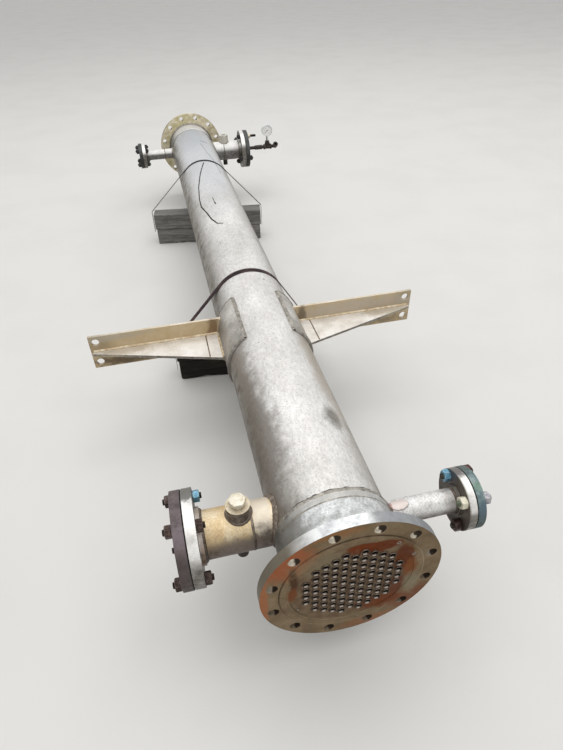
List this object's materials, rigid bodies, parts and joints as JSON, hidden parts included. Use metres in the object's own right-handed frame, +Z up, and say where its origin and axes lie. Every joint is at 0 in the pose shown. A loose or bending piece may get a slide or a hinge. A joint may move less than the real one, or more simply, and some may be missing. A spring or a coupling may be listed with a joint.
{
  "type": "shell and tube heat exchanger",
  "caption": "Long steel pipe shell with drilled tubesheets, flanged side nozzles, support lugs and a pressure gauge, strapped on stacked timbers.",
  "frame": {"origin": "centre of the near tubesheet's bolting face, on the shell's axis", "axes": "+Y along the shell towards the far tubesheet, +Z up, +X to the right seen from the near end"},
  "size_m": [1.162, 3.357, 0.5181],
  "materials": {
    "stainless_shell": "mill finish, speckled and stained",
    "stainless_rings": "mill finish, stained near the tubesheets",
    "rusty_tubesheet": "olive brown with orange rust",
    "tube_steel": "bright rims, rusty bores",
    "nozzle_pipe": "mill finish",
    "flange_steel": "machined, pale",
    "gasket_black": "matt",
    "cover_dark_brown": "dark brown, worn",
    "cover_teal": "teal, worn",
    "cover_dark": "dark, worn",
    "bolt_steel": "dark brown, some nuts pale blue or cream",
    "coupling_steel": "pale, stained",
    "drain_steel": "dark",
    "fitting_iron": "dark brown",
    "gauge_case": "satin",
    "pad_stainless": "mill finish",
    "lug_steel": "pale, brown stains",
    "strap_brown": "rusty band",
    "strap_black": "black band",
    "timber_dark": "nearly black, weathered",
    "timber_grey": "weathered grey"
  },
  "bodies": {
    "root": {"shell": "stainless_shell", "end_rings": "stainless_rings", "near_tubesheet": "rusty_tubesheet", "far_tubesheet": "rusty_tubesheet", "tubes": "tube_steel", "near_left_neck": "nozzle_pipe", "near_left_flange": "flange_steel", "near_left_gasket": "gasket_black", "near_left_cover": "cover_dark_brown", "near_left_bolts": "bolt_steel", "near_left_coupling": "coupling_steel", "near_left_plug": "coupling_steel", "near_left_drain": "drain_steel", "near_right_neck": "nozzle_pipe", "near_right_flange": "flange_steel", "near_right_gasket": "gasket_black", "near_right_cover": "cover_teal", "near_right_bolts": "bolt_steel", "far_left_neck": "nozzle_pipe", "far_left_flange": "flange_steel", "far_left_gasket": "gasket_black", "far_left_cover": "cover_dark", "far_left_bolts": "bolt_steel", "far_right_neck": "nozzle_pipe", "far_right_flange": "flange_steel", "far_right_gasket": "gasket_black", "far_right_cover": "cover_dark", "far_right_bolts": "bolt_steel", "far_right_coupling": "coupling_steel", "far_right_drain": "drain_steel", "gauge_nipple": "fitting_iron", "gauge_tee": "fitting_iron", "gauge_elbow": "fitting_iron", "pressure_gauge": "gauge_case", "wrapper_pads": "pad_stainless", "bearing_plates": "lug_steel", "gussets": "lug_steel", "mid_strap": "strap_brown", "far_strap": "strap_black", "mid_timbers": "timber_dark", "far_timbers": "timber_grey"}
  },
  "joints": []
}
